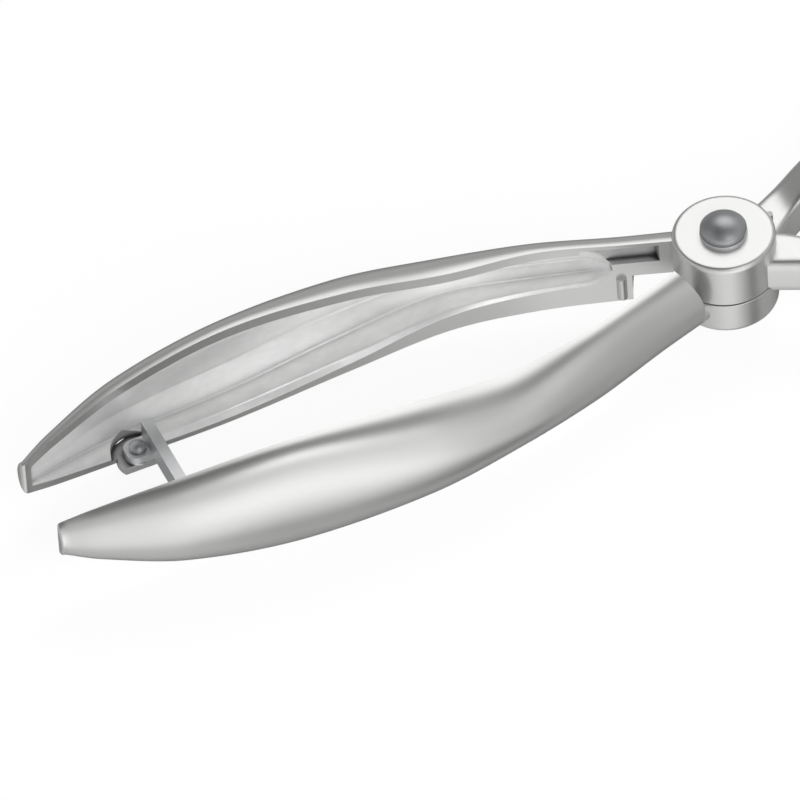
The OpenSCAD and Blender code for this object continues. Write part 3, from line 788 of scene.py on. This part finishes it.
class PITTER_OT_latch(bpy.types.Operator):
    """Builds the latch plate with its foot and hooked end"""
    bl_idname = "pitter.latch"
    bl_label = "Latch"

    def execute(self, context):
        latch = context.scene.pitter_latch
        x, y, half = latch_place(context)
        foot_z = -half + EAR_T + FOOT_LIFT
        plate_z = foot_z + PLATE_LIFT
        left = latch.pin_d / 2 + PLATE_GAP
        right = left + latch.plate_t
        end = -latch.length - latch.peg_d / 2 - HOOK_GAP
        nose_x, tail, easing = left - NOSE_LEN, end - NOSE, 0.2 * MM
        plate_from, hook_from = -latch.length + PLATE_FROM, -latch.length + HOOK_FROM
        plate = slab("latch", eased([(left, plate_from), (right, plate_from), (right, FOOT_R),
                                     (left, FOOT_R)], [0, 0, 0.6 * MM, easing]),
                     plate_z, plate_z + latch.plate_h, FINE)
        hook = slab("hook", eased([(left, hook_from), (left, end), (nose_x, end), (nose_x, tail),
                                   (right, tail), (right, hook_from)],
                                  [0, easing, easing, easing, 0.7 * MM, 0]),
                    plate_z + HOOK_RISE, plate_z + latch.plate_h - HOOK_BELOW)
        foot = slab("foot", eased([(-FOOT_R, -FOOT_R), (right - FINE, -FOOT_R), (right - FINE, FOOT_R),
                                   (-FOOT_R, FOOT_R)], [FOOT_EASE, FINE, FINE, FOOT_EASE], 10),
                    foot_z, foot_z + FOOT_T)
        piece = joined(joined(plate, hook), foot)
        piece = bored(piece, foot_z - PAST_HOLE, foot_z + FOOT_HOLE_TOP, latch.pin_d + FINE)
        placed(piece, Matrix.Translation((x, y, mid_z())))
        dress(smooth(piece), "latch", "latch_plate", "latch_plate", "latch_hook")
        return {"FINISHED"}


# ---------------------------------------------------------------- metals

class Shade:
    """A shader socket that takes part in Python sums, each of which adds its Math node."""

    def __init__(self, tree, socket):
        self.tree, self.socket = tree, socket

    @classmethod
    def node(cls, tree, kind, settings=None, inputs=None, output=0):
        """Adds a node, its settings first and then the values or links of its sockets."""
        made = tree.nodes.new(kind)
        for key, value in (settings or {}).items():
            if key == "stops":
                ramp = made.color_ramp
                while len(ramp.elements) < len(value):
                    ramp.elements.new(0.5)
                for stop, (place, level) in zip(ramp.elements, value):
                    stop.position, stop.color = place, (level, level, level, 1)
            else:
                setattr(made, key, value)
        for key, value in (inputs or {}).items():
            if isinstance(value, Shade):
                tree.links.new(value.socket, made.inputs[key])
            else:
                made.inputs[key].default_value = value
        return cls(tree, made.outputs[output])

    def _sum(self, operation, a, b):
        return Shade.node(self.tree, "ShaderNodeMath", {"operation": operation}, {0: a, 1: b})

    def __add__(self, other):
        return self._sum("ADD", self, other)

    def __radd__(self, other):
        return self._sum("ADD", other, self)

    def __sub__(self, other):
        return self._sum("SUBTRACT", self, other)

    def __rsub__(self, other):
        return self._sum("SUBTRACT", other, self)

    def __mul__(self, other):
        return self._sum("MULTIPLY", self, other)

    def __rmul__(self, other):
        return self._sum("MULTIPLY", other, self)

    def __pow__(self, other):
        return self._sum("POWER", self, other)

    def clamped(self, low, high):
        """This value as 0 at low and 1 at high, smoothly between."""
        return Shade.node(self.tree, "ShaderNodeMapRange", {"interpolation_type": "SMOOTHSTEP"},
                          {"Value": self, "From Min": low, "From Max": high})


def new_material(name, metallic=1.0):
    """An empty metal: its tree, its shader node and the places on the piece."""
    material = bpy.data.materials.new(name)
    material.use_nodes = True
    tree = material.node_tree
    shader = tree.nodes["Principled BSDF"]
    shader.inputs["Metallic"].default_value = metallic
    place = Shade.node(tree, "ShaderNodeTexCoord", output=3)
    return tree, shader, place


def stretched(tree, place, stretch):
    """The place, drawn out so that a pattern runs in streaks."""
    return Shade.node(tree, "ShaderNodeVectorMath", {"operation": "MULTIPLY"}, {0: place, 1: stretch})


def noise(tree, place, scale, detail=3.0, roughness=0.5):
    return Shade.node(tree, "ShaderNodeTexNoise", None,
                      {"Vector": place, "Scale": scale, "Detail": detail, "Roughness": roughness})


def mixed(tree, factor, a, b):
    """Two colours mixed by a factor."""
    node = tree.nodes.new("ShaderNodeMix")
    node.data_type = "RGBA"
    node.inputs["A"].default_value = (*a, 1)
    node.inputs["B"].default_value = (*b, 1)
    tree.links.new(factor.socket, node.inputs["Factor"])
    return Shade(tree, node.outputs["Result"])


def feed(tree, shader, **values):
    for key, value in values.items():
        tree.links.new(value.socket, shader.inputs[key.replace("_", " ")])


def metal(name, colours, streaks, rough, relief, edge, metallic=1.0, painted_shade=None):
    """A worked metal: cloudy tone, fine tool marks along one direction, softened edges and, if asked,
    painted shade where other surfaces close in.

    streaks is the stretch of the tool marks, rough the least and most roughness, relief the
    depth of the marks, edge the radius of the softened edges, and the last setting how far from a
    corner the painted shade reaches, with the least and the most open sky that it begins and ends at.
    """
    tree, shader, place = new_material(name, metallic)
    marks = noise(tree, stretched(tree, place, streaks), 1.0, 4.0, 0.6)
    clouds = noise(tree, place, 90.0, 3.0, 0.55)
    tone = (clouds * 0.65 + marks * 0.35).clamped(0.35, 0.65)
    low, high = rough
    tone_and_shade = tone
    # Painted shade: ambient occlusion darkens the base colour towards the dark grey in corners, creases
    # and next to the floor.
    if painted_shade:
        reach, least, most = painted_shade
        open_sky = Shade.node(tree, "ShaderNodeAmbientOcclusion", {"samples": 8}, {"Distance": reach},
                              output=1)
        tone_and_shade = (0.82 + tone * 0.18) * open_sky.clamped(least, most)
    feed(tree, shader, Base_Color=mixed(tree, tone_and_shade, *colours),
         Roughness=low + (high - low) * (1.0 - tone) + marks.clamped(0.55, 0.75) * (high - low) * 0.5)
    soft_edge = Shade.node(tree, "ShaderNodeBevel", {"samples": 6}, {"Radius": edge})
    bump = Shade.node(tree, "ShaderNodeBump", None,
                      {"Strength": 1.0, "Distance": relief, "Height": marks, "Normal": soft_edge})
    feed(tree, shader, Normal=bump)


class PITTER_OT_metals(bpy.types.Operator):
    """Makes the metals of the pieces"""
    bl_idname = "pitter.metals"
    bl_label = "Metals"

    def execute(self, context):
        m = context.scene.pitter_metals
        cast, dark_tone_and_shade = tuple(m.cast), tuple(m.cast_shade_and_tone)
        rivet, bright, wire = tuple(m.rivet), tuple(m.bright), tuple(m.wire)
        # The last setting of each casting metal is its painted shade: how far it reaches, and the open
        # sky at which it begins and ends.
        metal("cast_metal", (dark_tone_and_shade, cast), streaks=(260, 2600, 2600), rough=(0.05, 0.13),
              relief=2e-6, edge=0.3 * MM, painted_shade=(8 * MM, 0.4, 0.92))
        metal("cast_inside", (dark_tone_and_shade, cast), streaks=(420, 900, 900), rough=(0.29, 0.34),
              relief=2e-6, edge=0.3 * MM, metallic=0.6, painted_shade=(1.8 * MM, 0.7, 0.97))
        metal("cast_pocket", (tuple(m.pocket_shade_and_tone), tuple(m.pocket)), streaks=(700, 700, 700),
              rough=(0.4, 0.55), relief=2e-5, edge=0.2 * MM, metallic=0.5, painted_shade=(1.4 * MM, 0.5, 0.92))
        metal("rivet_steel", (rivet, rivet), streaks=(3000, 3000, 1500), rough=(0.07, 0.13),
              relief=3e-6, edge=0.15 * MM)
        metal("bright_steel", (wire, bright), streaks=(2500, 2500, 2500), rough=(0.15, 0.28),
              relief=2e-6, edge=0.1 * MM)
        metal("punch_steel", (wire, bright), streaks=(3500, 500, 3500), rough=(0.12, 0.25),
              relief=2e-6, edge=0.1 * MM)
        metal("spring_steel", (wire, wire), streaks=(2000, 2000, 2000), rough=(0.2, 0.32),
              relief=2e-6, edge=0.08 * MM)
        metal("latch_plate", (wire, bright), streaks=(2500, 400, 2500), rough=(0.16, 0.3),
              relief=2e-6, edge=0.12 * MM)
        return {"FINISHED"}


KEPT_NODES = {
    "return_spring": "spring_steel", "cup_seat": "bright_steel", "guide_bush": "bright_steel",
    "punch": "punch_steel", "punch_screw": "rivet_steel", "latch_pin": "rivet_steel",
    "latch_washer": "bright_steel", "catch_peg": "rivet_steel",
}


class PITTER_OT_kept_nodes(bpy.types.Operator):
    """Gives the turned and bent pieces that stay as they are their metals"""
    bl_idname = "pitter.kept_nodes"
    bl_label = "Kept pieces"

    def execute(self, context):
        for name, material in KEPT_NODES.items():
            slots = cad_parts[name].material_slots
            if not slots:
                raise RuntimeError(f"{name} has no material slot")
            for slot in slots:
                slot.material = bpy.data.materials[material]
        return {"FINISHED"}


# ---------------------------------------------------------------- the stage

PIXELS = 800
PIVOT_PIXEL = (725.5, 263.0)
FLOOR_GAP = 0.05 * MM
FLOOR_HALF = 3.0


def directions(stage):
    """The camera's right, up and backward directions."""
    a, e, r = stage.azimuth, stage.elevation, stage.roll
    right = Vector((math.cos(a), math.sin(a), 0))
    ahead = Vector((-math.sin(a) * math.cos(e), math.cos(a) * math.cos(e), -math.sin(e)))
    up = right.cross(ahead)
    turn = Matrix.Rotation(r, 3, ahead)
    return turn @ right, turn @ up, -ahead


class PITTER_OT_stage(bpy.types.Operator):
    """Lays the floor and sets the lamps, the surroundings and the camera"""
    bl_idname = "pitter.stage"
    bl_label = "Stage"

    def execute(self, context):
        stage = context.scene.pitter_stage
        context.scene.view_settings.view_transform = "Standard"
        self.camera(context, stage)
        self.floor()
        self.surroundings()
        self.lamps(context, stage)
        return {"FINISHED"}

    def camera(self, context, stage):
        right, up, back = directions(stage)
        per_pixel = stage.frame_width / PIXELS
        pivot = Vector((0, 0, mid_z()))
        middle = (pivot - right * (PIVOT_PIXEL[0] - PIXELS / 2) * per_pixel
                  + up * (PIVOT_PIXEL[1] - PIXELS / 2) * per_pixel)
        data = bpy.data.cameras.new("camera")
        data.sensor_width = 36
        data.lens = data.sensor_width * stage.distance / stage.frame_width
        data.clip_end = 30
        camera = bpy.data.objects.new("camera", data)
        context.scene.collection.objects.link(camera)
        camera.matrix_world = Matrix.Translation(middle + back * stage.distance) @ Matrix(
            (right, up, back)).transposed().to_4x4()
        context.scene.camera = camera

    def floor(self):
        """A white floor. Mirrored rays pass it, so that the metal shows the room all round."""
        low, wide = CAD_BOX[0][2] - FLOOR_GAP, FLOOR_HALF
        corners = [(-wide, -wide, low), (wide, -wide, low), (wide, wide, low), (-wide, wide, low)]
        floor = mesh_object("floor", corners, [(0, 1, 2, 3)])
        material = bpy.data.materials.new("floor")
        material.use_nodes = True
        tree = material.node_tree
        tree.nodes.clear()
        rays = Shade.node(tree, "ShaderNodeLightPath")
        glossy = Shade(tree, rays.socket.node.outputs["Is Glossy Ray"])
        diffuse = Shade.node(tree, "ShaderNodeBsdfDiffuse", None, {"Color": (0.9, 0.9, 0.9, 1)})
        glow = Shade.node(tree, "ShaderNodeEmission", None, {"Color": (1, 1, 1, 1), "Strength": 1.0})
        seen = Shade.node(tree, "ShaderNodeMixShader", None, {0: rays * 0.92, 1: diffuse, 2: glow})
        open_way = Shade.node(tree, "ShaderNodeBsdfTransparent")
        mix = Shade.node(tree, "ShaderNodeMixShader", None, {0: glossy, 1: seen, 2: open_way})
        output = tree.nodes.new("ShaderNodeOutputMaterial")
        tree.links.new(mix.socket, output.inputs["Surface"])
        floor.data.materials.append(material)

    def surroundings(self):
        """A grey room with soft boxes: their reflections give the polished metal its bands."""
        world = bpy.data.worlds.new("room")
        bpy.context.scene.world = world
        world.use_nodes = True
        tree = world.node_tree
        tree.nodes.clear()
        way = Shade.node(tree, "ShaderNodeTexCoord", output=0)
        split = Shade.node(tree, "ShaderNodeSeparateXYZ", None, {0: way})
        height = Shade(tree, split.socket.node.outputs["Z"])
        outward = (1.0001 - height * height) ** -0.5

        def toward(azimuth, elevation=0.0):
            """How well a direction agrees with this one, both in degrees."""
            a, e = math.radians(azimuth), math.radians(elevation)
            aim = (math.cos(a) * math.cos(e), math.sin(a) * math.cos(e), math.sin(e))
            dot = Shade.node(tree, "ShaderNodeVectorMath", {"operation": "DOT_PRODUCT"},
                             {0: way, 1: aim})
            return Shade(tree, dot.socket.node.outputs["Value"])

        def box(azimuth, elevation, inner, outer):
            """A round soft box: 1 within the inner angle and 0 past the outer one."""
            least, full = math.cos(math.radians(outer)), math.cos(math.radians(inner))
            return toward(azimuth, elevation).clamped(least, full)

        card = ((toward(-130) * outward).clamped(0.26, 0.66)
                * (toward(-70) * outward).clamped(-0.1, 1.0)
                * height.clamped(-0.84, -0.72) * (1.0 - height.clamped(0.15, 0.55)))
        edge = box(-87, -8, 6, 22)
        far_box = box(62, 51, 19, 25)
        top_box = box(-77, 56, 10, 14)
        side_box = box(-66, 26, 8, 20)
        overhead = height.clamped(0.76, 0.88)
        dark_far = (toward(90) * outward).clamped(0.5, 0.85) * height.clamped(0.0, 0.2)
        dark_right = (toward(-20) * outward).clamped(0.55, 0.95) * (1.0 - height.clamped(0.3, 0.7))
        dark_floor = box(-67, -48, 9, 22)
        below = box(70, -46, 14, 48)
        grey = 0.52 - overhead * 0.47 - dark_far * 0.34 - below * 0.42 - dark_right * 0.17
        level = (grey + card * 0.56 + edge * 0.34 + side_box * 0.36 - dark_floor * 0.5
                 + far_box * (1.6 - grey) + top_box * (2.0 - grey))
        rays = Shade.node(tree, "ShaderNodeLightPath")
        seen = Shade.node(tree, "ShaderNodeBackground", None, {"Color": (1, 1, 1, 1), "Strength": 1.0})
        room = Shade.node(tree, "ShaderNodeBackground", None,
                          {"Color": (1, 1, 1, 1), "Strength": level})
        mix = Shade.node(tree, "ShaderNodeMixShader", None, {0: rays, 1: room, 2: seen})
        output = tree.nodes.new("ShaderNodeOutputWorld")
        tree.links.new(mix.socket, output.inputs["Surface"])

    def lamps(self, context, stage):
        """A key lamp from the front and a weaker one from behind, which no reflection shows."""
        aim = Vector((-0.04, 0, 0))
        lamps = (("key", (-0.12, -0.5, 0.33), 0.35, stage.key_power),
                 ("fill", (0.3, 0.3, 0.45), 0.3, stage.key_power * 0.6))
        for name, place, wide, power in lamps:
            data = bpy.data.lights.new(name, "AREA")
            data.size, data.energy = wide, power
            lamp = bpy.data.objects.new(name, data)
            context.scene.collection.objects.link(lamp)
            lamp.visible_glossy = False
            lamp.location = place
            lamp.rotation_euler = (aim - Vector(place)).to_track_quat("-Z", "Y").to_euler()


# ---------------------------------------------------------------- the add-on

class PITTER_PT_panel(bpy.types.Panel):
    """Lists what builds the pitter"""
    bl_label = "Olive pitter"
    bl_idname = "PITTER_PT_panel"
    bl_space_type = "VIEW_3D"
    bl_region_type = "UI"
    bl_category = "Pitter"

    def draw(self, context):
        for operator in OPERATORS:
            self.layout.operator(operator.bl_idname)


GROUPS = {"pitter_hub": PitterHub, "pitter_handles": PitterHandles, "pitter_head": PitterHead,
          "pitter_latch": PitterLatch, "pitter_metals": PitterMetals, "pitter_stage": PitterStage}
OPERATORS = (PITTER_OT_metals, PITTER_OT_upper_lever, PITTER_OT_lower_lever, PITTER_OT_rivet,
             PITTER_OT_latch, PITTER_OT_kept_nodes, PITTER_OT_stage)


def register():
    for group in GROUPS.values():
        bpy.utils.register_class(group)
    for operator in OPERATORS:
        bpy.utils.register_class(operator)
    bpy.utils.register_class(PITTER_PT_panel)
    for name, group in GROUPS.items():
        setattr(bpy.types.Scene, name, PointerProperty(type=group))


def unregister():
    for name in GROUPS:
        delattr(bpy.types.Scene, name)
    bpy.utils.unregister_class(PITTER_PT_panel)
    for operator in reversed(OPERATORS):
        bpy.utils.unregister_class(operator)
    for group in reversed(list(GROUPS.values())):
        bpy.utils.unregister_class(group)


def main():
    register()
    bpy.ops.pitter.metals()
    bpy.ops.pitter.upper_lever()
    bpy.ops.pitter.lower_lever()
    bpy.ops.pitter.rivet()
    bpy.ops.pitter.latch()
    bpy.ops.pitter.kept_nodes()
    bpy.ops.pitter.stage()


if __name__ == "__main__":
    main()
